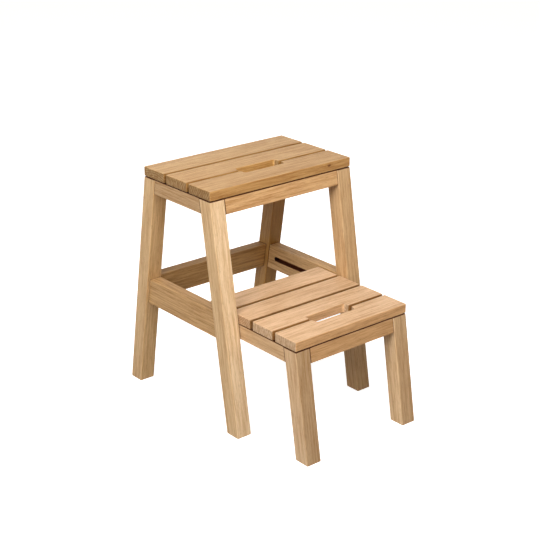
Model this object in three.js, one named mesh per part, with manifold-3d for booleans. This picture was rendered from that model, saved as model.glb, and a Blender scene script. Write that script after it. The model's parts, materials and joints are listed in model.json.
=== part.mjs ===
// Two-step wooden stool. The seat stands on four splayed legs, and the lower step slides in under it.
// Units are millimetres. +X runs along the slats, +Y points to the back and +Z points up.
// The step is drawn pulled out, and the origin lies on the floor at the centre of the footprint.

import * as THREE from 'three';
import { mergeVertices } from 'three/addons/utils/BufferGeometryUtils.js';
import Module from 'manifold-3d';

const wasm = await Module();
wasm.setup();

// Overall sizes.
const SEAT_HEIGHT = 470;
const SEAT_WIDTH = 343;
const SEAT_DEPTH = 207;
const STEP_HEIGHT = 234.5;
const STEP_WIDTH = 275.4;
const STEP_DEPTH = 249;
const STEP_TRAVEL = 160;
const SPLAY = THREE.MathUtils.degToRad(9.33);

// Timber sections.
const SLAT_THICKNESS = 18.5;
const SLAT_SPACE = 6;
const SHADOW_LINE = 1.5;
const LEG_SIDE = 33;
const SEAT_APRON_THICKNESS = 22;
const STEP_APRON_THICKNESS = 20;
const APRON_HEIGHT = 29;
const BOARD_INSET = 1;
const RAIL_THICKNESS = 25;
const RAIL_HEIGHT = 52;
const RAIL_TOP = 235.5;
const SIDE_RAIL_INSET = 5.5;
const CLEAT_SIDE = 20;
const CLEAT_END_SPACE = 3;

// Rounded arrises.
const SLAT_ARRIS = 1.5;
const SLAT_CORNER = 2;
const LEG_ARRIS = 1.5;
const LEG_CORNER = 2;
const BOARD_ARRIS = 1;
const ARC_STEPS = 3;

// Hand hole, half of it in each of the two slats nearest the front.
const HAND_HOLE_LENGTH = 98;
const HAND_HOLE_WIDTH = 32;
const HAND_HOLE_CORNER = 6;

// Mortise and tenon joints.
const GAP = 0.3;
const TENON_LENGTH = 13;
const STEP_BACK_TENON_LENGTH = 10;
const TENON_THICKNESS = 9;
const TENON_SHOULDER = 5;

// Guide blocks on the step, and the grooves that they run in.
const GUIDE_LENGTH = 18;
const GUIDE_HEIGHT = 9.7;
const GROOVE_LEVEL = 208.3;
const GROOVE_HEIGHT = 10.5;
const GROOVE_DEPTH = 12;
const GUIDE_TIP_SPACE = 0.5;
const ROUND_END_SHARE = 0.98;

// Countersunk wood screws with a cross recess.
const SCREW_LENGTH = 30;
const SCREW_RADIUS = 2;
const SCREW_HEAD_RADIUS = 4;
const SCREW_HEAD_RIM = 0.5;
const SCREW_HEAD_DEPTH = 2.8;
const SCREW_POINT = 5;
const SCREW_SIDES = 16;
const RECESS_SPAN = 4.2;
const RECESS_BLADE = 1;
const RECESS_DEPTH = 1.4;

// Screw places along the cleats.
const SLAT_SCREW_MARGIN = 7;
const SEAT_CLEAT_SCREW_AT = 32;
const STEP_CLEAT_SCREW_AT = 58;

// Values that follow from the sizes above.
const LEAN = Math.tan(SPLAY);
const LEG_RUN = LEG_SIDE / Math.cos(SPLAY);
const SEAT_TOP = SEAT_HEIGHT - SLAT_THICKNESS - SHADOW_LINE;
const STEP_TOP = STEP_HEIGHT - SLAT_THICKNESS - SHADOW_LINE;
const RAIL_DROP = SEAT_TOP - RAIL_TOP;
const GROOVE_LENGTH = STEP_TRAVEL + GUIDE_LENGTH + 2 * GAP;
const STEP_PUSHED_IN = (STEP_DEPTH - SEAT_DEPTH) / 2 - (SEAT_TOP - STEP_TOP) * LEAN;
const STEP_PULLED_OUT = STEP_PUSHED_IN - STEP_TRAVEL;
const FRONT_FOOT = STEP_PULLED_OUT - STEP_DEPTH / 2 - STEP_TOP * LEAN;
const BACK_FOOT = SEAT_DEPTH / 2 + SEAT_TOP * LEAN;
const FOOTPRINT_CENTRE = (FRONT_FOOT + BACK_FOOT) / 2;

const SIDES = [['left', -1], ['right', 1]];
const ENDS = [['front', -1], ['back', 1]];

// ---- Materials ----

const wood = (color, roughness) => new THREE.MeshStandardMaterial({ color, roughness, metalness: 0 });
const SEAT_WOOD = wood(0xcda578, 0.55);
const LEG_WOOD = wood(0xd9b384, 0.55);
const RAIL_WOOD = wood(0xbe9460, 0.6);
const STEP_WOOD = wood(0xe1b991, 0.55);
const CLEAT_WOOD = wood(0xa8814f, 0.7);
const GUIDE_WOOD = wood(0x8a5f38, 0.5);
const STEEL = new THREE.MeshStandardMaterial({ color: 0x9a9a98, roughness: 0.35, metalness: 1 });

// ---- Solids ----

function toSolid(geometry) {
  const bare = geometry.clone();
  bare.deleteAttribute('normal');
  bare.deleteAttribute('uv');
  const merged = mergeVertices(bare);
  const vertProperties = new Float32Array(merged.attributes.position.array);
  const triVerts = new Uint32Array(merged.index.array);
  return new wasm.Manifold(new wasm.Mesh({ numProp: 3, vertProperties, triVerts }));
}

function toGeometry(solid) {
  const { vertProperties, triVerts } = solid.getMesh();
  const geometry = new THREE.BufferGeometry();
  geometry.setAttribute('position', new THREE.BufferAttribute(vertProperties, 3));
  geometry.setIndex(new THREE.BufferAttribute(triVerts, 1));
  geometry.computeVertexNormals();
  return geometry;
}

function join(geometry, addition) {
  return toGeometry(toSolid(geometry).add(toSolid(addition)));
}

function cut(geometry, cutters) {
  return toGeometry(cutters.reduce((solid, cutter) => solid.subtract(toSolid(cutter)), toSolid(geometry)));
}

function box(width, depth, height) {
  return new THREE.BoxGeometry(width, depth, height);
}

// An arc that rounds the corner between the directions back and ahead, or the bare corner at radius 0.
function addCorner(shape, corner, back, ahead, radius) {
  if (radius === 0) {
    shape.lineTo(corner.x, corner.y);
    return;
  }
  const halfAngle = Math.acos(back.dot(ahead)) / 2;
  const start = corner.clone().addScaledVector(back, radius / Math.tan(halfAngle));
  const end = corner.clone().addScaledVector(ahead, radius / Math.tan(halfAngle));
  const inwards = back.clone().add(ahead).normalize();
  const centre = corner.clone().addScaledVector(inwards, radius / Math.sin(halfAngle));
  const startAngle = start.clone().sub(centre).angle();
  const endAngle = end.clone().sub(centre).angle();
  shape.lineTo(start.x, start.y);
  shape.absarc(centre.x, centre.y, radius, startAngle, endAngle, back.cross(ahead) > 0);
}

// A closed shape from corners given as [x, y, radius], in order.
function roundedShape(corners) {
  const shape = new THREE.Shape();
  const points = corners.map(([x, y]) => new THREE.Vector2(x, y));
  const lastCorner = points.at(-1);
  const start = lastCorner.clone().add(points[0]).multiplyScalar(1 / 2);
  shape.moveTo(start.x, start.y);
  corners.forEach(([, , radius], index) => {
    const corner = points[index];
    const back = points.at(index - 1).clone().sub(corner).normalize();
    const ahead = points[(index + 1) % points.length].clone().sub(corner).normalize();
    addCorner(shape, corner, back, ahead, radius);
  });
  shape.lineTo(start.x, start.y);
  return shape;
}

function rectangle(width, height, radius) {
  return roundedShape([
    [-width / 2, -height / 2, radius],
    [width / 2, -height / 2, radius],
    [width / 2, height / 2, radius],
    [-width / 2, height / 2, radius],
  ]);
}

function roundEnded(length, height) {
  return rectangle(length, height, ROUND_END_SHARE * height / 2);
}

// A plate of the shape's outline, centred on the XY plane, with rounded arrises round both faces.
function plate(shape, thickness, arris) {
  const geometry = new THREE.ExtrudeGeometry(shape, {
    depth: thickness - 2 * arris,
    bevelEnabled: arris > 0,
    bevelThickness: arris,
    bevelSize: arris,
    bevelOffset: -arris,
    bevelSegments: ARC_STEPS,
    curveSegments: ARC_STEPS,
  });
  return geometry.translate(0, 0, arris - thickness / 2);
}

// Turns a plate so that its outline's x stays X and its outline's y becomes Z.
function standAcross(geometry) {
  return geometry.rotateX(Math.PI / 2);
}

// Turns a plate so that its outline's x becomes Y and its outline's y becomes Z.
function standAlong(geometry) {
  return geometry.rotateX(Math.PI / 2).rotateZ(Math.PI / 2);
}

// Slants a solid outwards below its origin: end is -1 for the front, 1 for the back and 0 for upright.
function splay(geometry, end) {
  return geometry.applyMatrix4(new THREE.Matrix4().makeShear(0, 0, 0, 0, 0, -end * LEAN));
}

// ---- Screws ----

// A screw, or with some clearance the hole for it, with its head's face at the origin and its point at +Y.
function screwBody(clearance) {
  const outline = [
    [0, -clearance],
    [SCREW_HEAD_RADIUS + clearance, -clearance],
    [SCREW_HEAD_RADIUS + clearance, SCREW_HEAD_RIM],
    [SCREW_RADIUS + clearance, SCREW_HEAD_DEPTH],
    [SCREW_RADIUS + clearance, SCREW_LENGTH - SCREW_POINT + clearance],
    [0, SCREW_LENGTH + clearance],
  ];
  return new THREE.LatheGeometry(outline.map((point) => new THREE.Vector2(...point)), SCREW_SIDES);
}

const SCREW = cut(screwBody(0), [
  box(RECESS_SPAN, 2 * RECESS_DEPTH, RECESS_BLADE),
  box(RECESS_BLADE, 2 * RECESS_DEPTH, RECESS_SPAN),
]);
const POINT_UP = Math.PI / 2;
const pointSideways = (side) => -side * Math.PI / 2;

function upwardHole(x, y, z) {
  return screwBody(GAP).rotateX(POINT_UP).translate(x, y, z);
}

function sidewaysHole(side, x, y, z) {
  return screwBody(GAP).rotateZ(pointSideways(side)).translate(x, y, z);
}

// ---- Cleats: battens inside the side aprons that the slats are screwed to ----

// Everything about one slatted frame that its slats, cleats and aprons share. cleatEnds are the faces at
// the front and back that the cleats fit between.
function slattedFrame({ width, depth, height, slats, apronThickness, cleatEnds, cleatScrewAt, name }) {
  const slatWidth = (depth - (slats - 1) * SLAT_SPACE) / slats;
  const apronX = width / 2 - BOARD_INSET - apronThickness / 2;
  const cleatX = apronX - (apronThickness + CLEAT_SIDE) / 2 - GAP;
  const top = height - SLAT_THICKNESS - SHADOW_LINE;
  const cleatBottom = top + SHADOW_LINE - GAP - CLEAT_SIDE;
  const slatCentres = Array.from({ length: slats }, (_, index) => (
    (slatWidth - depth) / 2 + index * (slatWidth + SLAT_SPACE)
  ));
  const cleatFront = cleatEnds[0] + CLEAT_END_SPACE;
  const cleatBack = cleatEnds[1] - CLEAT_END_SPACE;
  const slatScrews = slatCentres.map((y) => (
    THREE.MathUtils.clamp(y, cleatFront + SLAT_SCREW_MARGIN, cleatBack - SLAT_SCREW_MARGIN)
  ));
  return {
    name, width, depth, height, top, apronX, slatWidth, slatCentres, slatScrews,
    cleatX, cleatFront, cleatBack, cleatBottom, cleatScrews: [-cleatScrewAt, cleatScrewAt],
  };
}

const SEAT = slattedFrame({
  name: 'seat',
  width: SEAT_WIDTH,
  depth: SEAT_DEPTH,
  height: SEAT_HEIGHT,
  slats: 3,
  apronThickness: SEAT_APRON_THICKNESS,
  cleatEnds: [LEG_RUN - SEAT_DEPTH / 2, SEAT_DEPTH / 2 - LEG_RUN],
  cleatScrewAt: SEAT_CLEAT_SCREW_AT,
});
const STEP = slattedFrame({
  name: 'step',
  width: STEP_WIDTH,
  depth: STEP_DEPTH,
  height: STEP_HEIGHT,
  slats: 4,
  apronThickness: STEP_APRON_THICKNESS,
  cleatEnds: [LEG_RUN - STEP_DEPTH / 2, STEP_DEPTH / 2 - BOARD_INSET - STEP_APRON_THICKNESS],
  cleatScrewAt: STEP_CLEAT_SCREW_AT,
});

// The holes for the screws that hold a side's cleat, around a piece whose centre is at pieceX.
function cleatScrewHoles(frame, side, pieceX) {
  const headX = side * (frame.cleatX - CLEAT_SIDE / 2 - pieceX);
  const z = frame.cleatBottom + CLEAT_SIDE / 2;
  return frame.cleatScrews.map((y) => sidewaysHole(side, headX, y, z));
}

function cleatGeometry(frame, side) {
  const batten = box(CLEAT_SIDE, frame.cleatBack - frame.cleatFront, CLEAT_SIDE);
  batten.translate(0, (frame.cleatFront + frame.cleatBack) / 2, frame.cleatBottom + CLEAT_SIDE / 2);
  const slatHoles = frame.slatScrews.map((y) => upwardHole(0, y, frame.cleatBottom));
  return cut(batten, [...slatHoles, ...cleatScrewHoles(frame, side, frame.cleatX)]);
}

// ---- Slats ----

function handHoleCorners(width) {
  const end = HAND_HOLE_LENGTH / 2;
  const edge = width / 2;
  const floor = edge - (HAND_HOLE_WIDTH - SLAT_SPACE) / 2;
  return [
    [end, edge, SLAT_CORNER],
    [end, floor, HAND_HOLE_CORNER],
    [-end, floor, HAND_HOLE_CORNER],
    [-end, edge, SLAT_CORNER],
  ];
}

// A slat lying flat. holeSide is 1 for half a hand hole in its back edge, -1 for its front edge, 0 for none.
function slatGeometry(frame, index, holeSide) {
  const length = frame.width;
  const width = frame.slatWidth;
  const shape = roundedShape([
    [-length / 2, -width / 2, SLAT_CORNER],
    [length / 2, -width / 2, SLAT_CORNER],
    [length / 2, width / 2, SLAT_CORNER],
    ...(holeSide === 0 ? [] : handHoleCorners(width)),
    [-length / 2, width / 2, SLAT_CORNER],
  ]);
  const plank = plate(shape, SLAT_THICKNESS, SLAT_ARRIS);
  if (holeSide < 0) {
    plank.rotateZ(Math.PI);
  }
  const screwY = frame.slatScrews[index] - frame.slatCentres[index];
  const headZ = -SLAT_THICKNESS / 2 - GAP - CLEAT_SIDE;
  return cut(plank, [-1, 1].map((side) => upwardHole(side * frame.cleatX, screwY, headZ)));
}

// ---- Legs ----

// Mortises are cut in the upright leg, whose top centre is the origin, and lean with it.
function crossMortise(side, end, board) {
  const height = board.height - 2 * TENON_SHOULDER + 2 * GAP;
  const centreY = end * (LEG_RUN / 2 - BOARD_INSET - board.thickness / 2);
  const mortise = box(2 * TENON_LENGTH, TENON_THICKNESS + 2 * GAP, height);
  return mortise.translate(-side * LEG_SIDE / 2, centreY, -board.drop - board.height / 2);
}

function sideMortise(side, end, board) {
  const height = board.height - 2 * TENON_SHOULDER + 2 * GAP;
  const centreX = side * (LEG_SIDE / 2 - board.inset - board.thickness / 2);
  const mortise = box(TENON_THICKNESS + 2 * GAP, 2 * TENON_LENGTH, height);
  return mortise.translate(centreX, -end * LEG_RUN / 2, -board.drop - board.height / 2);
}

function legGeometry(height, end, mortises) {
  const post = plate(rectangle(LEG_SIDE, LEG_RUN, LEG_CORNER), height, LEG_ARRIS);
  return splay(cut(post.translate(0, 0, -height / 2), mortises), end);
}

// Boards that are tenoned into the legs. drop is the depth of a board's top below the leg's top.
const SEAT_APRON = { thickness: SEAT_APRON_THICKNESS, height: APRON_HEIGHT, drop: 0, inset: BOARD_INSET };
const STEP_APRON = { thickness: STEP_APRON_THICKNESS, height: APRON_HEIGHT, drop: 0, inset: BOARD_INSET };
const SIDE_RAIL = { thickness: RAIL_THICKNESS, height: RAIL_HEIGHT, drop: RAIL_DROP, inset: SIDE_RAIL_INSET };
const BACK_RAIL = { thickness: RAIL_THICKNESS, height: RAIL_HEIGHT, drop: RAIL_DROP, inset: BOARD_INSET };

function seatLegGeometry(side, end) {
  const mortises = [
    crossMortise(side, end, SEAT_APRON),
    sideMortise(side, end, SEAT_APRON),
    sideMortise(side, end, SIDE_RAIL),
  ];
  if (end > 0) {
    mortises.push(crossMortise(side, end, BACK_RAIL));
  }
  return legGeometry(SEAT_TOP, end, mortises);
}

function stepLegGeometry(side) {
  const end = -1;
  return legGeometry(STEP_TOP, end, [crossMortise(side, end, STEP_APRON), sideMortise(side, end, STEP_APRON)]);
}

// ---- Boards ----

// A board across the stool with a tenon at each end. Its top centre is the origin.
function crossBoardGeometry(clearWidth, board, tenonLength, end) {
  const length = clearWidth - 2 * GAP;
  const body = standAcross(plate(rectangle(length, board.height, 0), board.thickness, BOARD_ARRIS));
  const tenons = box(length + 2 * tenonLength, TENON_THICKNESS, board.height - 2 * TENON_SHOULDER);
  return splay(join(body, tenons).translate(0, 0, -board.height / 2), end);
}

// The side outline of a board, in heights above the floor. Its ends are functions of the height.
function sideOutline(frontEnd, backEnd, top, bottom) {
  return roundedShape([
    [frontEnd(bottom), bottom, 0],
    [backEnd(bottom), bottom, 0],
    [backEnd(top), top, 0],
    [frontEnd(top), top, 0],
  ]);
}

// A board from front to back: shoulders at the two ends, and tenons that reach further by their lengths.
function sideBoardGeometry(board, top, shoulders, tenonLengths) {
  const [front, back] = shoulders;
  const [frontTenon, backTenon] = tenonLengths;
  const bottom = top - board.height;
  const body = plate(sideOutline(front, back, top, bottom), board.thickness, BOARD_ARRIS);
  const tenonOutline = sideOutline(
    (z) => front(z) - frontTenon,
    (z) => back(z) + backTenon,
    top - TENON_SHOULDER,
    bottom + TENON_SHOULDER,
  );
  return standAlong(join(body, plate(tenonOutline, TENON_THICKNESS, 0)));
}

// The inner face of a frame's front leg at a height, with the gap that a shoulder keeps.
const shoulderAt = (frame) => (z) => LEG_RUN + GAP - frame.depth / 2 - (frame.top - z) * LEAN;

function seatSideBoard(board) {
  const front = shoulderAt(SEAT);
  const back = (z) => -front(z);
  return sideBoardGeometry(board, SEAT_TOP - board.drop, [front, back], [TENON_LENGTH, TENON_LENGTH]);
}

function seatSideApron(side) {
  return cut(seatSideBoard(SEAT_APRON), cleatScrewHoles(SEAT, side, SEAT.apronX));
}

const SIDE_RAIL_X = SEAT_WIDTH / 2 - SIDE_RAIL_INSET - RAIL_THICKNESS / 2;
const RAIL_INNER_FACE = SIDE_RAIL_X - RAIL_THICKNESS / 2;

function sideRailGeometry(side) {
  const groove = standAlong(plate(roundEnded(GROOVE_LENGTH, GROOVE_HEIGHT), 2 * GROOVE_DEPTH, 0));
  groove.translate(-side * RAIL_THICKNESS / 2, 0, GROOVE_LEVEL);
  return cut(seatSideBoard(SIDE_RAIL), [groove]);
}

// ---- Guide blocks ----

const GUIDE_ROOT = STEP_WIDTH / 2 - BOARD_INSET + GAP;
const GUIDE_TIP = RAIL_INNER_FACE + GROOVE_DEPTH - GUIDE_TIP_SPACE;
const GUIDE_Y = GAP + (GUIDE_LENGTH - GROOVE_LENGTH) / 2 - STEP_PULLED_OUT;

// The hole for a guide block's screw, around a piece whose centre is at pieceX. The screw points inwards.
function guideScrewHole(side, pieceX, pieceY) {
  return sidewaysHole(-side, side * (GUIDE_TIP - pieceX), GUIDE_Y - pieceY, GROOVE_LEVEL);
}

function guideBlockGeometry(side) {
  const block = standAlong(plate(roundEnded(GUIDE_LENGTH, GUIDE_HEIGHT), GUIDE_TIP - GUIDE_ROOT, 0));
  block.translate(0, 0, GROOVE_LEVEL);
  return cut(block, [guideScrewHole(side, (GUIDE_ROOT + GUIDE_TIP) / 2, GUIDE_Y)]);
}

// ---- Step boards ----

const STEP_BACK_RAIL_Y = STEP_DEPTH / 2 - BOARD_INSET - STEP_APRON_THICKNESS / 2;

function stepSideApron(side) {
  const backEnd = () => STEP_DEPTH / 2 - BOARD_INSET;
  const blank = sideBoardGeometry(STEP_APRON, STEP_TOP, [shoulderAt(STEP), backEnd], [TENON_LENGTH, 0]);
  const mortiseHeight = APRON_HEIGHT - 2 * TENON_SHOULDER + 2 * GAP;
  const mortise = box(2 * STEP_BACK_TENON_LENGTH, TENON_THICKNESS + 2 * GAP, mortiseHeight);
  mortise.translate(-side * STEP_APRON_THICKNESS / 2, STEP_BACK_RAIL_Y, STEP_TOP - APRON_HEIGHT / 2);
  return cut(blank, [
    mortise,
    guideScrewHole(side, STEP.apronX, 0),
    ...cleatScrewHoles(STEP, side, STEP.apronX),
  ]);
}

// ---- Assembly ----

function addPiece(group, name, geometry, material, x, y, z) {
  const mesh = new THREE.Mesh(geometry, material);
  mesh.name = name;
  mesh.position.set(x, y, z);
  group.add(mesh);
  return mesh;
}

function addScrew(group, name, x, y, z) {
  return addPiece(group, name, SCREW, STEEL, x, y, z);
}

function addSlats(group, frame, names, material) {
  const holeSides = [1, -1];
  names.forEach((name, index) => {
    const geometry = slatGeometry(frame, index, holeSides[index] ?? 0);
    const z = frame.height - SLAT_THICKNESS / 2;
    addPiece(group, `${frame.name}_slat_${name}`, geometry, material, 0, frame.slatCentres[index], z);
  });
}

function addCleat(group, frame, sideName, side) {
  const cleatX = side * frame.cleatX;
  addPiece(group, `${frame.name}_cleat_${sideName}`, cleatGeometry(frame, side), CLEAT_WOOD, cleatX, 0, 0);
  frame.slatScrews.forEach((y, index) => {
    const name = `${frame.name}_slat_screw_${sideName}_${index + 1}`;
    addScrew(group, name, cleatX, y, frame.cleatBottom).rotation.x = POINT_UP;
  });
  frame.cleatScrews.forEach((y, index) => {
    const name = `${frame.name}_cleat_screw_${sideName}_${index + 1}`;
    const headX = side * (frame.cleatX - CLEAT_SIDE / 2);
    addScrew(group, name, headX, y, frame.cleatBottom + CLEAT_SIDE / 2).rotation.z = pointSideways(side);
  });
}

function buildSeat() {
  const group = new THREE.Group();
  const legX = (SEAT_WIDTH - LEG_SIDE) / 2;
  const legY = (SEAT_DEPTH - LEG_RUN) / 2;
  const innerWidth = SEAT_WIDTH - 2 * LEG_SIDE;
  for (const [endName, end] of ENDS) {
    for (const [sideName, side] of SIDES) {
      const leg = seatLegGeometry(side, end);
      addPiece(group, `leg_${endName}_${sideName}`, leg, LEG_WOOD, side * legX, end * legY, SEAT_TOP);
    }
    const apron = crossBoardGeometry(innerWidth, SEAT_APRON, TENON_LENGTH, end);
    const apronY = end * (SEAT_DEPTH / 2 - BOARD_INSET - SEAT_APRON_THICKNESS / 2);
    addPiece(group, `seat_apron_${endName}`, apron, SEAT_WOOD, 0, apronY, SEAT_TOP);
  }
  for (const [sideName, side] of SIDES) {
    addPiece(group, `seat_apron_${sideName}`, seatSideApron(side), SEAT_WOOD, side * SEAT.apronX, 0, 0);
    addPiece(group, `side_rail_${sideName}`, sideRailGeometry(side), RAIL_WOOD, side * SIDE_RAIL_X, 0, 0);
    addCleat(group, SEAT, sideName, side);
  }
  const backRail = crossBoardGeometry(innerWidth, BACK_RAIL, TENON_LENGTH, 1);
  const backRailY = SEAT_DEPTH / 2 - BOARD_INSET - RAIL_THICKNESS / 2 + RAIL_DROP * LEAN;
  addPiece(group, 'back_rail', backRail, RAIL_WOOD, 0, backRailY, RAIL_TOP);
  addSlats(group, SEAT, ['front', 'middle', 'back'], SEAT_WOOD);
  return group;
}

function buildStep() {
  const group = new THREE.Group();
  const legX = (STEP_WIDTH - LEG_SIDE) / 2;
  const legY = (LEG_RUN - STEP_DEPTH) / 2;
  const guideX = (GUIDE_ROOT + GUIDE_TIP) / 2;
  for (const [sideName, side] of SIDES) {
    addPiece(group, `step_leg_${sideName}`, stepLegGeometry(side), LEG_WOOD, side * legX, legY, STEP_TOP);
    addPiece(group, `step_apron_${sideName}`, stepSideApron(side), STEP_WOOD, side * STEP.apronX, 0, 0);
    addPiece(group, `guide_block_${sideName}`, guideBlockGeometry(side), GUIDE_WOOD, side * guideX, GUIDE_Y, 0);
    const guideScrew = addScrew(group, `guide_screw_${sideName}`, side * GUIDE_TIP, GUIDE_Y, GROOVE_LEVEL);
    guideScrew.rotation.z = pointSideways(-side);
    addCleat(group, STEP, sideName, side);
  }
  const frontApron = crossBoardGeometry(STEP_WIDTH - 2 * LEG_SIDE, STEP_APRON, TENON_LENGTH, -1);
  addPiece(group, 'step_apron_front', frontApron, STEP_WOOD, 0, -STEP_BACK_RAIL_Y, STEP_TOP);
  const backClearWidth = 2 * (STEP.apronX - STEP_APRON_THICKNESS / 2);
  const backRail = crossBoardGeometry(backClearWidth, STEP_APRON, STEP_BACK_TENON_LENGTH, 0);
  addPiece(group, 'step_rail_back', backRail, STEP_WOOD, 0, STEP_BACK_RAIL_Y, STEP_TOP);
  addSlats(group, STEP, ['1', '2', '3', '4'], STEP_WOOD);
  return group;
}

const stool = new THREE.Group();
const seat = buildSeat();
const step = buildStep();
seat.position.y = -FOOTPRINT_CENTRE;
step.position.y = STEP_PULLED_OUT - FOOTPRINT_CENTRE;
stool.add(seat, step);

export default stool;
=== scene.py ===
"""The looks of the two-step wooden stool: its timber, its screws, and the studio round it."""

import json
import math
import random

import bmesh
import bpy
from mathutils import Euler, Matrix, Vector


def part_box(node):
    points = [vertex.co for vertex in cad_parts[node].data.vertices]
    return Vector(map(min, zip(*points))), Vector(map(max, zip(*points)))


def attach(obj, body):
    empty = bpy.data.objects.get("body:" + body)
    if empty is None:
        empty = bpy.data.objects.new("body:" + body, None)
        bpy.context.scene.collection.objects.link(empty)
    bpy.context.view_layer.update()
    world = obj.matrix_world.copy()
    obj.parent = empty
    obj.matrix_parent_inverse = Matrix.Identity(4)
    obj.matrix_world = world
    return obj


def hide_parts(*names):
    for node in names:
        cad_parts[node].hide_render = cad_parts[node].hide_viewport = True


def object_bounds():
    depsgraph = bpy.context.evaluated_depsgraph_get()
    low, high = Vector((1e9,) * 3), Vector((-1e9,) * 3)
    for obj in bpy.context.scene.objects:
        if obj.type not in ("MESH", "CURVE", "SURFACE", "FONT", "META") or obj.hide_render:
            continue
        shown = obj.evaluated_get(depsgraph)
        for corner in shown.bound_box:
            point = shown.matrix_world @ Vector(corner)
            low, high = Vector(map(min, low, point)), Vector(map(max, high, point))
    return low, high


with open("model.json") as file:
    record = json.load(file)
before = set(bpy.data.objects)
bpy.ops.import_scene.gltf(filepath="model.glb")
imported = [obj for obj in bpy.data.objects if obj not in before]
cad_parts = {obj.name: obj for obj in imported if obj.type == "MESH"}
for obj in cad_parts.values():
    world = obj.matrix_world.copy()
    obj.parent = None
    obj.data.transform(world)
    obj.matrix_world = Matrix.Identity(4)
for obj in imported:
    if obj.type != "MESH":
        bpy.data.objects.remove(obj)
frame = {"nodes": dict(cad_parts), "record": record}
cad_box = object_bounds()

MM = 0.001

# ---- What the record says of each node ----

RECORD = frame["record"]
BODY_OF = {node: body for body, nodes in RECORD["behaviour"]["bodies"].items() for node in nodes}
SLOT_OF = {part["node"]: part["material_slot"] for part in RECORD["subparts"]}
SCREW_SLOT = "screw_steel"

# ---- Timber ----

# Turns that bring a piece's grain onto X. The legs lean by LEAN, so their grain does too.
LEAN = math.radians(9.33)
GRAIN_ALONG_X = (0, 0, 0)
GRAIN_ALONG_Y = (0, 0, -math.pi / 2)
GRAIN_UP_FRONT_LEG = (LEAN, math.pi / 2, 0)
GRAIN_UP_BACK_LEG = (-LEAN, math.pi / 2, 0)

# Pale and dark wood in sRGB, per material slot.
WOOD_TONES = {
    "seat_wood": ((204, 168, 126), (164, 121, 76)),
    "leg_wood": ((209, 175, 131), (177, 137, 91)),
    "rail_wood": ((195, 155, 109), (149, 109, 64)),
    "step_wood": ((218, 179, 140), (183, 141, 99)),
    "cleat_wood": ((170, 131, 84), (131, 93, 53)),
    "guide_wood": ((143, 99, 61), (99, 63, 34)),
}
# Timber differs from piece to piece, and a board's sawn sides and ends differ from its face. These are how
# much of the slot's red, green and blue a piece keeps: first all over, then on its sides and ends besides.
# They were fitted face by face to how bright each face is. So besides the timber's own tone they hold painted
# shade, strongest on pieces that stand in shadow such as the back right leg and the back rail. They also hold
# painted light and shade that sets one side of a piece apart from the next.
EVEN = (1, 1, 1)
DARK_ENDS = (0.84, 0.86, 0.81)
PALE_ENDS = (1.13, 1.22, 1.32)
TINTS_AND_PAINTED_SHADE = {
    "leg_front_left": ((1, 1.04, 1.09), (1.27, 1.35, 1.53), EVEN),
    "leg_front_right": ((0.88, 0.86, 0.84), EVEN, EVEN),
    "leg_back_left": ((0.98, 1, 1.01), (1.08, 1.05, 0.97), EVEN),
    "leg_back_right": ((0.78, 0.65, 0.38), (0.73, 0.65, 0.42), EVEN),
    "seat_slat_front": ((0.77, 0.74, 0.64), (1.06, 0.95, 0.71), DARK_ENDS),
    "seat_slat_middle": ((0.84, 0.82, 0.73), (1.14, 1.05, 0.76), DARK_ENDS),
    "seat_slat_back": ((0.9, 0.9, 0.83), (0.95, 0.86, 0.63), DARK_ENDS),
    "seat_apron_left": ((0.8, 0.8, 0.77), EVEN, EVEN),
    "seat_apron_front": ((1, 0.94, 0.82), EVEN, EVEN),
    "side_rail_left": ((0.99, 1.01, 0.96), EVEN, EVEN),
    "side_rail_right": ((1.18, 1.22, 1.22), EVEN, EVEN),
    "back_rail": ((0.9, 0.84, 0.6), EVEN, EVEN),
    "step_slat_1": ((0.91, 0.94, 0.98), (1.14, 1.01, 0.78), PALE_ENDS),
    "step_slat_2": ((0.94, 0.98, 1.04), (1.16, 1.07, 0.9), PALE_ENDS),
    "step_slat_3": ((0.89, 0.91, 0.93), EVEN, EVEN),
    "step_slat_4": ((0.99, 1.02, 1.05), EVEN, EVEN),
    "step_apron_front": ((0.76, 0.68, 0.52), EVEN, EVEN),
    "step_apron_left": ((0.86, 0.89, 0.86), EVEN, EVEN),
    "step_leg_left": ((0.96, 1, 1.14), (0.78, 0.73, 0.64), EVEN),
    "step_leg_right": ((1.05, 1.1, 1.22), (0.84, 0.79, 0.73), EVEN),
}
TONE_SPREAD = 0.02

# Knots: where each is, from the piece's middle in shares of its half sizes, and its radius.
KNOTS = {
    "seat_slat_front": ((0.68, -1.0, 0.3), 2.8 * MM),
}
NO_KNOT = ((0, 0, 0), 0.0)

# Growth rings: how far away their heart can be, how they are stretched along the grain, how wide a ring is,
# where in a ring its dark wood begins and ends, and how far noise and a knot push the rings aside. A knot's
# push fades with the distance, and a knot is longer along the grain than across it.
HEART_DISTANCE = (45 * MM, 110 * MM)
RING_STRETCH = (0.035, 1, 1)
RING_WIDTH = 4.6 * MM
RING_RISE = (0.15, 0.88)
RING_FALL = (0.9, 1.0)
RING_BEND = 26 * MM
RING_RIPPLE = 3.5 * MM
KNOT_PUSH = 9 * MM
KNOT_PUSH_FALL = -0.7
KNOT_STRETCH = (0.55, 1, 1)
SMALLEST_KNOT = 0.01 * MM

# Noise: how often it varies in a metre along and across the grain, its detail and its roughness.
SEED_REACH = 6.0
NOISES = {
    "bend": ((2.5, 11, 11), 1.0, 0.5),
    "ripple": ((14, 60, 60), 1.0, 0.5),
    "streak": ((6, 120, 120), 3.0, 0.7),
    "line": ((13, 230, 230), 2.0, 0.7),
    "thread": ((14, 340, 340), 2.0, 0.65),
    "fibre": ((40, 900, 900), 2.0, 0.65),
    "pore": ((85, 1300, 1300), 1.0, 0.5),
    "fleck": ((170, 900, 330), 2.0, 0.5),
    "cloud": ((5, 13, 13), 2.0, 0.5),
    "mottle": ((60, 150, 150), 2.0, 0.5),
    "wear": ((30, 90, 90), 2.0, 0.5),
}

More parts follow.
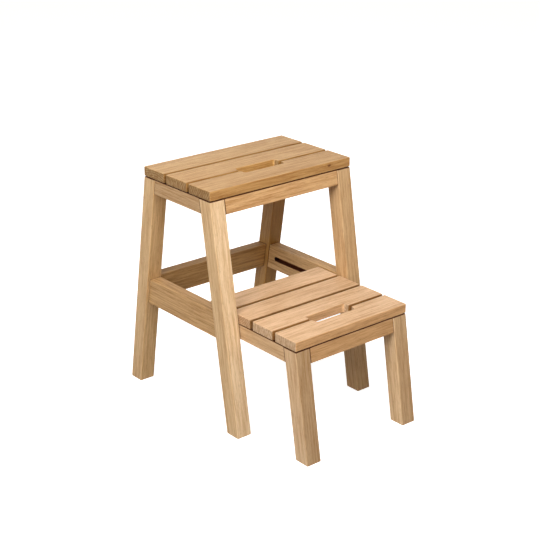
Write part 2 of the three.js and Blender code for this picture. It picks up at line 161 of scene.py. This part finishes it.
# Where marks begin and are full: by the noise's value, by how squarely a face turns to an axis of the grain,
# and by the distance from the knot in knot radii.
PORE_LEVELS = (0.6, 0.72)
FLECK_LEVELS = (0.56, 0.7)
WEAR_LEVELS = (0.35, 0.65)
END_FACING = (0.72, 0.95)
SIDE_FACING = (0.6, 0.8)
ARRIS_FACING = (0.84, 0.97)
SEAM_FACING = (0.2, 0.45)
KNOT_CORE = (0.45, 1.15)
KNOT_HALO = (1.0, 3.4)

# The depth of colour, from pale at 0 to dark at 1: its base, and how much each mark sways it.
BASE_DEPTH = 0.42
DEPTH_SWAYS = {"late wood": 0.2, "streak": 1.1, "line": 1.8, "thread": 1.8, "fibre": 1.2, "cloud": 0.5}
END_DEPTH = 0.3
END_DEPTH_SWAYS = {"late wood": 1.2, "mottle": 4.4}

# The marks laid over it, in this order: how strongly, and in which shade.
MARK_SHADES = {
    "pore": (0.4, "darkest"),
    "fleck": (0.3, "pale"),
    "end grain": (0.34, "darkest"),
    "worn": (0.3, "pale"),
    "knot halo": (0.35, "dark"),
    "knot core": (0.85, "knot"),
}
PORE_COLOUR = (70, 40, 20)
PORE_SHARE = 0.62
KNOT_COLOUR = (88, 52, 26)

# What each mark adds to the roughness and to the relief.
BASE_ROUGHNESS = 0.36
ROUGHNESS_SHARES = {"streak": 0.16, "fibre": 0.12, "pore": 0.12, "end grain": 0.2, "worn": -0.08}
RELIEF_SHARES = {"fibre": 0.7, "streak": 0.35, "late wood": 0.14, "pore": -0.4, "knot core": -0.3}
RELIEF_STRENGTH = 0.5
RELIEF_HEIGHT = 0.4 * MM
WOOD_SPECULAR = 0.22

# Darkening multiplies the timber's colour. There is dirt in the closed joints at the ends of aprons and
# rails, and painted shade along the tops of legs and aprons in the shadow gap under the slats. There is
# painted shade on slat sides that face the gaps between slats (as a share for each body's slats), and painted
# shade inside the rails' grooves.
SEAM_DIRT_AND_SHADE = (112, 78, 50)
SLAT_GAP_SHADE_COLOUR = (160, 135, 84)
SLAT_GAP_SHADE_SHARES = {"seat": 0.55, "step": 0.9}
GROOVE_SHADE_COLOUR = (108, 66, 50)
# Half the height of a groove, and how deep a face may lie and still count as a board's outside.
GROOVE_REACH = 5.6 * MM
SKIN = 1.6 * MM
# A joint's dirt is full up to the first distance from the shoulder, and gone at the second.
SHOULDER_DIRT = (0.6 * MM, 1.9 * MM)
# The tenons of the CAD boards: how long they are, and how far below a board's edge they begin.
TENON_LENGTH = 13 * MM
STEP_BACK_TENON_LENGTH = 10 * MM
TENON_SHOULDER = 5 * MM
# A distance that no point of the stool reaches.
OUT_OF_REACH = 1.0

SMOOTH_ANGLE = math.radians(35)
WELD_DISTANCE = 0.001 * MM
FLAT_ANGLE = math.radians(0.5)


def linear(channel):
    """One sRGB channel of 0 to 255 as scene-linear light."""
    share = channel / 255
    return share / 12.92 if share <= 0.04045 else ((share + 0.055) / 1.055) ** 2.4


def colour(rgb, tint=EVEN):
    """An sRGB colour of 0 to 255, tinted, as scene-linear light."""
    return (*(min(1.0, linear(channel) * share) for channel, share in zip(rgb, tint)), 1.0)


# The colour sockets of a Mix node. Its sockets for numbers and vectors have the same names.
MIX_FIRST = 6
MIX_SECOND = 7
MIX_RESULT = 2


class Nodes:
    """Short ways to add nodes to one node tree. A value is a number, a vector, a colour or a socket."""

    def __init__(self, tree):
        self.tree = tree

    def add(self, kind, values=None, **settings):
        node = self.tree.nodes.new(kind)
        for name, setting in settings.items():
            setattr(node, name, setting)
        for key, value in (values or {}).items():
            self.feed(node.inputs[key], value)
        return node

    def feed(self, socket, value):
        if isinstance(value, bpy.types.NodeSocket):
            self.tree.links.new(value, socket)
        else:
            socket.default_value = value

    def math(self, operation, *values, clamp=False):
        node = self.add("ShaderNodeMath", dict(enumerate(values)), operation=operation, use_clamp=clamp)
        return node.outputs["Value"]

    def vector(self, operation, *values):
        node = self.add("ShaderNodeVectorMath", dict(enumerate(values)), operation=operation)
        return node.outputs["Vector"]

    def split(self, vector):
        return self.add("ShaderNodeSeparateXYZ", {"Vector": vector}).outputs

    def length(self, vector):
        return self.add("ShaderNodeVectorMath", {0: vector}, operation="LENGTH").outputs["Value"]

    def noise(self, place, scales, detail, roughness):
        """Noise that varies scales[0] times a metre along X, and so on."""
        scaled = self.vector("MULTIPLY", place, scales)
        values = {"Vector": scaled, "Scale": 1.0, "Detail": detail, "Roughness": roughness}
        return self.add("ShaderNodeTexNoise", values).outputs["Fac"]

    def step(self, value, low, high):
        """A smooth rise from 0 at low to 1 at high."""
        values = {"Value": value, "From Min": low, "From Max": high}
        return self.add("ShaderNodeMapRange", values, interpolation_type="SMOOTHSTEP").outputs["Result"]

    def fall(self, value, low, high):
        """A smooth fall from 1 at low to 0 at high."""
        return self.math("SUBTRACT", 1.0, self.step(value, low, high))

    def centred(self, value, amount):
        """A value around a half as a value around zero, amount times as large."""
        return self.math("MULTIPLY", self.math("SUBTRACT", value, 0.5), amount)

    def total(self, *values):
        result = values[0]
        for value in values[1:]:
            result = self.math("ADD", result, value)
        return result

    def weighted(self, base, marks, shares):
        """The base, with a share of each of the marks added."""
        added = (self.math("MULTIPLY", marks[name], share) for name, share in shares.items())
        return self.total(base, *added)

    def swayed(self, marks, sways):
        """Each of the marks as a value around zero, as large as its sway says."""
        return [self.centred(marks[name], sway) for name, sway in sways.items()]

    def multiplied(self, first, second):
        return self.blend(1.0, first, second, "MULTIPLY")

    def blend(self, factor, first, second, kind="MIX"):
        node = self.add("ShaderNodeMix", data_type="RGBA", blend_type=kind)
        self.feed(node.inputs["Factor"], factor)
        self.feed(node.inputs[MIX_FIRST], first)
        self.feed(node.inputs[MIX_SECOND], second)
        return node.outputs[MIX_RESULT]


# What the timber group is given and what it gives back, by kind of socket.
TIMBER_SOCKETS = (
    ("INPUT", "NodeSocketVector", ("Place", "Facing", "Seed", "Heart", "Knot", "Seams Low", "Seams High")),
    ("INPUT", "NodeSocketColor", ("Pale", "Dark", "Side Tint And Shade", "End Tint And Shade")),
    ("INPUT", "NodeSocketFloat", ("Knot Radius", "Inside", "Groove", "Shoulder", "Shoulder Slope")),
    ("OUTPUT", "NodeSocketColor", ("Color",)),
    ("OUTPUT", "NodeSocketFloat", ("Roughness", "Height")),
)


def knot_distance(nodes, given):
    """How far a point is from the knot, in knot radii."""
    from_knot = nodes.vector("SUBTRACT", given["Place"], given["Knot"])
    span = nodes.length(nodes.vector("MULTIPLY", from_knot, KNOT_STRETCH))
    return nodes.math("DIVIDE", span, nodes.math("MAXIMUM", given["Knot Radius"], SMALLEST_KNOT))


def growth_rings(nodes, given, marks, knot_reach):
    """The dark share of the rings round the heart, which slow noise bends and the knot pushes aside."""
    push = nodes.math("POWER", 2.0, nodes.math("MULTIPLY", knot_reach, KNOT_PUSH_FALL))
    from_heart = nodes.vector("SUBTRACT", given["Place"], given["Heart"])
    radius = nodes.total(
        nodes.length(nodes.vector("MULTIPLY", from_heart, RING_STRETCH)),
        nodes.centred(marks["bend"], RING_BEND),
        nodes.centred(marks["ripple"], RING_RIPPLE),
        nodes.math("MULTIPLY", push, KNOT_PUSH),
    )
    ring = nodes.math("FRACT", nodes.math("DIVIDE", radius, RING_WIDTH))
    return nodes.math("MULTIPLY", nodes.step(ring, *RING_RISE), nodes.fall(ring, *RING_FALL))


def add_marks(nodes, given):
    """Everything that can mark a point of the timber, mostly as values from 0 to 1."""
    place = nodes.vector("ADD", given["Place"], given["Seed"])
    marks = {name: nodes.noise(place, *settings) for name, settings in NOISES.items()}
    knot_reach = knot_distance(nodes, given)
    facing = nodes.split(nodes.vector("ABSOLUTE", given["Facing"]))
    squarest = nodes.math("MAXIMUM", facing["X"], nodes.math("MAXIMUM", facing["Y"], facing["Z"]))
    rubbed = nodes.step(marks["wear"], *WEAR_LEVELS)
    marks["late wood"] = growth_rings(nodes, given, marks, knot_reach)
    marks["pore"] = nodes.step(marks["pore"], *PORE_LEVELS)
    marks["fleck"] = nodes.step(marks["fleck"], *FLECK_LEVELS)
    marks["end grain"] = nodes.step(facing["X"], *END_FACING)
    marks["side"] = nodes.step(facing["Y"], *SIDE_FACING)
    marks["worn"] = nodes.math("MULTIPLY", nodes.fall(squarest, *ARRIS_FACING), rubbed)
    marks["knot core"] = nodes.fall(knot_reach, *KNOT_CORE)
    marks["knot halo"] = nodes.fall(knot_reach, *KNOT_HALO)
    return marks


def clean_colour(nodes, given, marks):
    """The timber's colour before the dirt and painted shade of joints, gaps and grooves; its tints hold
    painted shade of their own.
    """
    end_sways = nodes.swayed(marks, END_DEPTH_SWAYS)
    depth = nodes.total(
        BASE_DEPTH,
        *nodes.swayed(marks, DEPTH_SWAYS),
        *(nodes.math("MULTIPLY", marks["end grain"], value) for value in (END_DEPTH, *end_sways)),
    )
    result = nodes.blend(nodes.math("ADD", depth, 0.0, clamp=True), given["Pale"], given["Dark"])
    shades = {
        "pale": given["Pale"],
        "dark": given["Dark"],
        "darkest": nodes.blend(PORE_SHARE, given["Dark"], colour(PORE_COLOUR)),
        "knot": colour(KNOT_COLOUR),
    }
    for mark, (share, shade) in MARK_SHADES.items():
        result = nodes.blend(nodes.math("MULTIPLY", marks[mark], share), result, shades[shade])
    # The sides and ends take their own tints, which on some pieces hold painted light and shade as well as
    # the timber's own difference.
    for mark, tint in (("side", "Side Tint And Shade"), ("end grain", "End Tint And Shade")):
        result = nodes.blend(marks[mark], result, nodes.multiplied(result, given[tint]))
    return result


def joint_dirt_and_shade(nodes, given, along):
    """The darkening along each axis of the grain: dirt from joints that close at a board's ends, and painted
    shade at the tops of legs and aprons under the slats and on slat sides that face a gap.
    """
    toward = nodes.split(given["Facing"])
    leaning = nodes.math("MULTIPLY", along["Z"], given["Shoulder Slope"])
    shoulder = nodes.math("SUBTRACT", given["Shoulder"], leaning)
    darkening = dict.fromkeys("XYZ", 0.0)
    for end, sign in (("Seams Low", -1), ("Seams High", 1)):
        end_darkening = nodes.split(given[end])
        for axis in "XYZ":
            touched = nodes.step(nodes.math("MULTIPLY", toward[axis], sign), *SEAM_FACING)
            if axis == "X":
                past_middle = nodes.math("MULTIPLY", along["X"], sign)
                to_shoulder = nodes.math("SUBTRACT", shoulder, past_middle)
                touched = nodes.math("MAXIMUM", touched, nodes.fall(to_shoulder, *SHOULDER_DIRT))
            here = nodes.math("MULTIPLY", touched, end_darkening[axis])
            darkening[axis] = nodes.math("MAXIMUM", darkening[axis], here)
    return darkening


def dirtied_and_shaded(nodes, given, clean):
    """The colour with oil and dust in closed joints, and with painted shade under the slats, between the
    slats and in the groove that the guide block runs in.
    """
    along = nodes.split(given["Place"])
    darkening = joint_dirt_and_shade(nodes, given, along)
    outermost = nodes.math("GREATER_THAN", nodes.math("ABSOLUTE", along["Y"]), given["Inside"])
    rise_over_groove = nodes.math("SUBTRACT", along["Z"], given["Groove"])
    at_level = nodes.math("LESS_THAN", nodes.math("ABSOLUTE", rise_over_groove), GROOVE_REACH)
    in_groove = nodes.math("MULTIPLY", at_level, nodes.math("SUBTRACT", 1.0, outermost))
    result = clean
    for share, shade in (
        # Dirt in the joints at a board's ends, and painted shade along the tops of legs and aprons under the
        # slats.
        (nodes.math("MAXIMUM", darkening["X"], darkening["Z"]), SEAM_DIRT_AND_SHADE),
        # Painted shade on the sides of slats that face the gaps between them.
        (nodes.math("MULTIPLY", darkening["Y"], outermost), SLAT_GAP_SHADE_COLOUR),
        # Painted shade inside the rails' grooves.
        (in_groove, GROOVE_SHADE_COLOUR),
    ):
        result = nodes.blend(share, result, nodes.multiplied(result, colour(shade)))
    return result


def make_wood_group():
    """The timber itself, for coordinates in metres whose X runs along the grain."""
    tree = bpy.data.node_groups.new("timber", "ShaderNodeTree")
    for way, kind, names in TIMBER_SOCKETS:
        for name in names:
            tree.interface.new_socket(name, in_out=way, socket_type=kind)
    nodes = Nodes(tree)
    given = nodes.add("NodeGroupInput").outputs
    marks = add_marks(nodes, given)
    result = {
        "Color": dirtied_and_shaded(nodes, given, clean_colour(nodes, given, marks)),
        "Roughness": nodes.weighted(BASE_ROUGHNESS, marks, ROUGHNESS_SHARES),
        "Height": nodes.weighted(0.0, marks, RELIEF_SHARES),
    }
    nodes.add("NodeGroupOutput", result)
    return tree


WOOD_GROUP = make_wood_group()


def grain_turn(node):
    """The turn that brings the node's grain onto X."""
    if "leg" in node.split("_"):
        return GRAIN_UP_BACK_LEG if "back" in node else GRAIN_UP_FRONT_LEG
    along_y = node.startswith("side_rail") or "cleat" in node or "guide" in node
    if along_y or node.endswith(("apron_left", "apron_right")):
        return GRAIN_ALONG_Y
    return GRAIN_ALONG_X


def seams(node):
    """How dark a piece is made at its low and high ends along each axis of its grain: dirt in the joints at a
    board's ends, painted shade at the tops of legs and aprons under the slats, and painted shade on slat
    sides that face a gap.
    """
    words = node.split("_")
    # Legs: painted shade at the top, in the gap under the slats.
    if "leg" in words:
        return (0, 0, 0), (1, 0, 0)
    # Slats: painted shade on the sides that face another slat, none on the outer sides of the front and back
    # slats.
    if "slat" in words:
        front, back = words[-1] in ("front", "1"), words[-1] in ("back", "4")
        darkening = SLAT_GAP_SHADE_SHARES[words[0]]
        return (0, 0 if front else darkening, 0), (0, 0 if back else darkening, 0)
    # Aprons and rails: dirt in the joints at both ends (the step's side aprons are open at the back), and on
    # aprons painted shade along the top, under the slats.
    if "apron" in words or "rail" in words:
        open_back = node in ("step_apron_left", "step_apron_right")
        return (1, 0, 0), (0 if open_back else 1, 0, float("apron" in words))
    return (0, 0, 0), (0, 0, 0)


def shoulder_place(node):
    """How far a board's shoulder is from the board's middle, and how much nearer it gets as height grows."""
    if not {"apron", "rail"} & set(node.split("_")):
        return OUT_OF_REACH, 0.0
    low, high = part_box(node)
    half = (high - low) / 2
    tenon = STEP_BACK_TENON_LENGTH if node == "step_rail_back" else TENON_LENGTH
    if grain_turn(node) == GRAIN_ALONG_X:
        return half.x - tenon, 0.0
    slope = math.tan(LEAN)
    return half.y - tenon - slope * (half.z - TENON_SHOULDER), slope


def across(node):
    """Half of the piece's size across the grain, sideways."""
    low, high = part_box(node)
    return (high.x - low.x if grain_turn(node) == GRAIN_ALONG_Y else high.y - low.y) / 2


def groove(node):
    """The height of a rail's groove over the rail's middle, or a height out of reach where there is none."""
    if not node.startswith("side_rail"):
        return OUT_OF_REACH
    low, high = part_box(node)
    guide_low, guide_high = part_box(node.replace("side_rail", "guide_block"))
    return (guide_low.z + guide_high.z - low.z - high.z) / 2


def wood_material(node):
    """The timber of one piece, with its own grain, tone, knot and dirt, and painted shade in its tints and in
    its gaps and grooves.
    """
    chance = random.Random(node)
    low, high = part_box(node)
    middle = (low + high) / 2
    half_size = (high - low) / 2
    turn = Euler(grain_turn(node)).to_matrix()
    pale, dark = WOOD_TONES[SLOT_OF[node]]
    # The tints carry painted shade as well as the piece's own tone.
    tint, side_tint_and_shade, end_tint_and_shade = TINTS_AND_PAINTED_SHADE.get(node, (EVEN, EVEN, EVEN))
    tone = 1 + chance.uniform(-TONE_SPREAD, TONE_SPREAD)
    tint = [share * tone for share in tint]
    seams_low, seams_high = seams(node)
    shoulder, shoulder_slope = shoulder_place(node)
    angle = chance.uniform(0, 2 * math.pi)
    away = chance.uniform(*HEART_DISTANCE)
    heart = (chance.uniform(-1, 1), away * math.cos(angle), away * math.sin(angle))
    knot_share, knot_radius = KNOTS.get(node, NO_KNOT)
    knot = turn @ Vector(share * size for share, size in zip(knot_share, half_size))

    material = bpy.data.materials.new(f"{node}_timber")
    material.use_nodes = True
    tree = material.node_tree
    nodes = Nodes(tree)
    shader = tree.nodes["Principled BSDF"]
    given = nodes.add("ShaderNodeTexCoord").outputs
    turned = {"Rotation": grain_turn(node)}
    to_middle = {**turned, "Vector": given["Object"], "Location": -(turn @ middle)}
    place = nodes.add("ShaderNodeMapping", to_middle)
    facing = nodes.add("ShaderNodeMapping", {**turned, "Vector": given["Normal"]}, vector_type="VECTOR")
    timber = nodes.add("ShaderNodeGroup", node_tree=WOOD_GROUP)
    values = {
        "Place": place.outputs["Vector"],
        "Facing": facing.outputs["Vector"],
        "Seed": [chance.uniform(-SEED_REACH, SEED_REACH) for _ in range(3)],
        "Heart": heart,
        "Knot": knot,
        "Knot Radius": knot_radius,
        "Pale": colour(pale, tint),
        "Dark": colour(dark, tint),
        "Side Tint And Shade": (*side_tint_and_shade, 1),
        "End Tint And Shade": (*end_tint_and_shade, 1),
        "Inside": across(node) - SKIN,
        "Groove": groove(node),
        "Shoulder": shoulder,
        "Shoulder Slope": shoulder_slope,
        "Seams Low": seams_low,
        "Seams High": seams_high,
    }
    for name, value in values.items():
        nodes.feed(timber.inputs[name], value)
    relief = {"Strength": RELIEF_STRENGTH, "Distance": RELIEF_HEIGHT, "Height": timber.outputs["Height"]}
    bump = nodes.add("ShaderNodeBump", relief)
    nodes.feed(shader.inputs["Base Color"], timber.outputs["Color"])
    nodes.feed(shader.inputs["Roughness"], timber.outputs["Roughness"])
    nodes.feed(shader.inputs["Normal"], bump.outputs["Normal"])
    shader.inputs["Specular IOR Level"].default_value = WOOD_SPECULAR
    return material


def place_piece(piece, node):
    """Put a piece in the scene, attach it to the body it rides, and hide the node it replaces."""
    bpy.context.scene.collection.objects.link(piece)
    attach(piece, BODY_OF[node])
    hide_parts(node)


def smooth(mesh):
    """Smooth shading that keeps the real corners."""
    mesh.shade_smooth()
    mesh.set_sharp_from_angle(angle=SMOOTH_ANGLE)


def make_wood_piece(node):
    """The node's solid with clean faces and shaded arrises, cut from its own timber."""
    shape = bmesh.new()
    shape.from_mesh(frame["nodes"][node].data)
    bmesh.ops.remove_doubles(shape, verts=shape.verts, dist=WELD_DISTANCE)
    bmesh.ops.dissolve_limit(shape, angle_limit=FLAT_ANGLE, verts=shape.verts, edges=shape.edges)
    mesh = bpy.data.meshes.new(f"{node}_wood")
    shape.to_mesh(mesh)
    shape.free()
    if "custom_normal" in mesh.attributes:
        mesh.attributes.remove(mesh.attributes["custom_normal"])
    smooth(mesh)
    mesh.materials.clear()
    mesh.materials.append(wood_material(node))
    piece = bpy.data.objects.new(f"{node}_wood", mesh)
    place_piece(piece, node)
    normals = piece.modifiers.new("flat faces stay flat", "WEIGHTED_NORMAL")
    normals.keep_sharp = True


# ---- Screws ----

# From the head's face to the point, as radii and heights in millimetres.
SCREW_SIDES = 32
SCREW_PROFILE = (
    (3.55, 0.0),
    (3.8, 0.25),
    (3.8, 0.5),
    (1.9, 2.7),
    (1.9, 25.0),
    (0.5, 29.6),
)
# The cross in the head, in millimetres, and what is left of its size at the bottom.
RECESS_SPAN = 4.2
RECESS_BLADE = 0.95
RECESS_DEPTH = 1.7
RECESS_TAPER = 0.55

STEEL_BRIGHT = (188, 186, 178)
STEEL_DULL = (140, 136, 126)
STEEL_ROUGHNESS = 0.34
STEEL_RELIEF_STRENGTH = 0.35
STEEL_RELIEF_HEIGHT = 0.05 * MM
BRUSHING = ((2600, 2600, 300), 3.0, 0.7)
STAIN = ((420, 420, 420), 2.0, 0.5)


def lathe(profile, sides):
    """A closed solid turned about Z from (radius, height) pairs in millimetres."""
    shape = bmesh.new()
    rings = []
    for radius, height in profile:
        ring = []
        for side in range(sides):
            angle = 2 * math.pi * side / sides
            spot = Vector((radius * math.cos(angle), radius * math.sin(angle), height))
            ring.append(shape.verts.new(spot * MM))
        rings.append(ring)
    for lower, upper in zip(rings, rings[1:]):
        for side in range(sides):
            after = (side + 1) % sides
            shape.faces.new((lower[side], lower[after], upper[after], upper[side]))
    shape.faces.new(reversed(rings[0]))
    shape.faces.new(rings[-1])
    return shape


def recess_blade(turn):
    """A tapered blade that cuts one slot of the cross into the head."""
    shape = bmesh.new()
    bmesh.ops.create_cube(shape, size=2 * MM)
    for vertex in shape.verts:
        share = RECESS_TAPER if vertex.co.z > 0 else 1.0
        vertex.co.x *= share * RECESS_SPAN / 2
        vertex.co.y *= share * RECESS_BLADE / 2
        vertex.co.z *= RECESS_DEPTH
    bmesh.ops.rotate(shape, matrix=Matrix.Rotation(turn, 3, "Z"), verts=shape.verts)
    return shape


def temporary_object(name, shape):
    mesh = bpy.data.meshes.new(name)
    shape.to_mesh(mesh)
    shape.free()
    made = bpy.data.objects.new(name, mesh)
    bpy.context.scene.collection.objects.link(made)
    return made


def make_screw_mesh():
    """A countersunk screw with a cross recess, its head's face at the origin and its point at +Z."""
    body = temporary_object("screw_body", lathe(SCREW_PROFILE, SCREW_SIDES))
    blades = [temporary_object(f"blade_{index}", recess_blade(index * math.pi / 2)) for index in range(2)]
    for blade in blades:
        cutter = body.modifiers.new(blade.name, "BOOLEAN")
        cutter.operation = "DIFFERENCE"
        cutter.solver = "EXACT"
        cutter.object = blade
    bpy.context.view_layer.update()
    finished = body.evaluated_get(bpy.context.evaluated_depsgraph_get())
    mesh = bpy.data.meshes.new_from_object(finished)
    mesh.name = "screw"
    for made in (body, *blades):
        bpy.data.objects.remove(made)
    smooth(mesh)
    return mesh


def steel_material():
    """Zinc-plated steel, brushed round the shank and stained."""
    material = bpy.data.materials.new("zinc_plated_steel")
    material.use_nodes = True
    tree = material.node_tree
    nodes = Nodes(tree)
    shader = tree.nodes["Principled BSDF"]
    place = nodes.add("ShaderNodeTexCoord").outputs["Object"]
    brushing = nodes.noise(place, *BRUSHING)
    stain = nodes.noise(place, *STAIN)
    shade = nodes.total(0.45, nodes.centred(stain, 1.1), nodes.centred(brushing, 0.6))
    dullness = nodes.math("ADD", shade, 0.0, clamp=True)
    tint = nodes.blend(dullness, colour(STEEL_BRIGHT), colour(STEEL_DULL))
    roughness = nodes.total(STEEL_ROUGHNESS, nodes.centred(brushing, 0.3), nodes.centred(stain, 0.25))
    relief = {"Strength": STEEL_RELIEF_STRENGTH, "Distance": STEEL_RELIEF_HEIGHT, "Height": brushing}
    bump = nodes.add("ShaderNodeBump", relief)
    nodes.feed(shader.inputs["Base Color"], tint)
    nodes.feed(shader.inputs["Roughness"], roughness)
    nodes.feed(shader.inputs["Normal"], bump.outputs["Normal"])
    shader.inputs["Metallic"].default_value = 1.0
    return material


def screw_direction(node):
    """The way that a screw points, from its head."""
    if "slat" in node:
        return Vector((0, 0, 1))
    outwards = -1 if "left" in node else 1
    return Vector((outwards if "cleat" in node else -outwards, 0, 0))


def make_screw(node, mesh):
    low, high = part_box(node)
    direction = screw_direction(node)
    head = (low + high) / 2 - direction * max(high - low) / 2
    turn = random.Random(node).uniform(0, math.pi / 2)
    piece = bpy.data.objects.new(f"{node}_steel", mesh)
    aim = direction.to_track_quat("Z", "Y").to_matrix().to_4x4()
    piece.matrix_world = Matrix.Translation(head) @ aim @ Matrix.Rotation(turn, 4, "Z")
    place_piece(piece, node)


# ---- Studio ----

CAMERA_AZIMUTH = math.radians(-39.73)
CAMERA_ELEVATION = math.radians(21.6)
CAMERA_DISTANCE = 2.48
CAMERA_AIM = Vector((-0.007, 0.006, 0.035))
CAMERA_LENS = 85.4
CAMERA_SENSOR = 36
STAGE_REACH = 20.0
STAGE_SIDES = 64
STAGE_SHADE = 0.8
STAGE_ROUGHNESS = 0.9
STAGE_SPECULAR = 0.1
FLOOR_DROP = 0.2 * MM
FLOOR_GLOW = 0.85
BACKDROP_GLOW = 1.0
# Warm light from all round stands in for what the timber's faces throw on each other.
WORLD_COLOUR = (1.0, 0.74, 0.42)
WORLD_STRENGTH = 0.17


def studio_direction(azimuth, elevation):
    """The unit vector towards something seen at these angles, with azimuth 0 at -Y and 90 degrees at +X."""
    across = math.cos(elevation)
    return Vector((math.sin(azimuth) * across, -math.cos(azimuth) * across, math.sin(elevation)))


def aim_at(thing, target, direction, distance):
    """Put a camera or a light in the scene, this far from the target in this direction and facing it."""
    thing.location = target + direction * distance
    thing.rotation_euler = direction.to_track_quat("Z", "Y").to_euler()
    bpy.context.scene.collection.objects.link(thing)


def make_camera(centre):
    lens = bpy.data.cameras.new("camera")
    lens.lens = CAMERA_LENS
    lens.sensor_width = CAMERA_SENSOR
    camera = bpy.data.objects.new("camera", lens)
    aim_at(camera, centre + CAMERA_AIM, studio_direction(CAMERA_AZIMUTH, CAMERA_ELEVATION), CAMERA_DISTANCE)
    bpy.context.scene.camera = camera


def make_light(name, centre, azimuth, elevation, distance, size, power, shines=True):
    """A round soft light, placed by angles in degrees. Shines says whether it is seen in reflections."""
    lamp = bpy.data.lights.new(name, "AREA")
    lamp.shape = "DISK"
    lamp.size = size
    lamp.energy = power
    direction = studio_direction(math.radians(azimuth), math.radians(elevation))
    light = bpy.data.objects.new(name, lamp)
    light.visible_glossy = shines
    aim_at(light, centre, direction, distance)


def stage_material(name, glow):
    """Pale matt paper with a glow of its own."""
    material = bpy.data.materials.new(name)
    material.use_nodes = True
    shader = material.node_tree.nodes["Principled BSDF"]
    shader.inputs["Base Color"].default_value = (STAGE_SHADE, STAGE_SHADE, STAGE_SHADE, 1)
    shader.inputs["Roughness"].default_value = STAGE_ROUGHNESS
    shader.inputs["Specular IOR Level"].default_value = STAGE_SPECULAR
    shader.inputs["Emission Color"].default_value = (1, 1, 1, 1)
    shader.inputs["Emission Strength"].default_value = glow
    return material


def stage_piece(name, shape, material):
    """Part of the studio, which throws no light back onto the stool."""
    piece = temporary_object(name, shape)
    piece.data.materials.append(material)
    piece.visible_diffuse = False
    piece.visible_shadow = False


def make_stage(height):
    """A round floor at this height under a half dome."""
    floor = bmesh.new()
    bmesh.ops.create_circle(floor, cap_ends=True, segments=STAGE_SIDES, radius=STAGE_REACH)
    bmesh.ops.translate(floor, vec=(0, 0, height), verts=floor.verts)
    stage_piece("floor", floor, stage_material("pale_floor", FLOOR_GLOW))
    dome = bmesh.new()
    bmesh.ops.create_uvsphere(
        dome, u_segments=STAGE_SIDES, v_segments=STAGE_SIDES // 2, radius=STAGE_REACH
    )
    below = [vertex for vertex in dome.verts if vertex.co.z < -WELD_DISTANCE]
    bmesh.ops.delete(dome, geom=below, context="VERTS")
    bmesh.ops.translate(dome, vec=(0, 0, height), verts=dome.verts)
    stage_piece("backdrop", dome, stage_material("pale_backdrop", BACKDROP_GLOW))


def make_studio():
    low, high = cad_box
    centre = (low + high) / 2
    make_camera(centre)
    make_light("key", centre, azimuth=-22, elevation=57, distance=1.45, size=0.9, power=15.2)
    make_light("side", centre, azimuth=-70, elevation=38, distance=3.0, size=2.0, power=79)
    make_light("front", centre, azimuth=-28, elevation=12, distance=3.0, size=1.6, power=9.7)
    make_light("fill", centre, azimuth=138, elevation=4, distance=3.0, size=2.2, power=24, shines=False)
    make_stage(low.z - FLOOR_DROP)
    world = bpy.data.worlds.new("studio")
    world.use_nodes = True
    background = world.node_tree.nodes["Background"]
    background.inputs["Color"].default_value = (*WORLD_COLOUR, 1)
    background.inputs["Strength"].default_value = WORLD_STRENGTH
    bpy.context.scene.world = world
    bpy.context.scene.view_settings.view_transform = "Standard"


# ---- Everything ----

steel = steel_material()
screw_mesh = make_screw_mesh()
screw_mesh.materials.append(steel)
for node_name, slot_name in SLOT_OF.items():
    if slot_name == SCREW_SLOT:
        make_screw(node_name, screw_mesh)
    else:
        make_wood_piece(node_name)
make_studio()
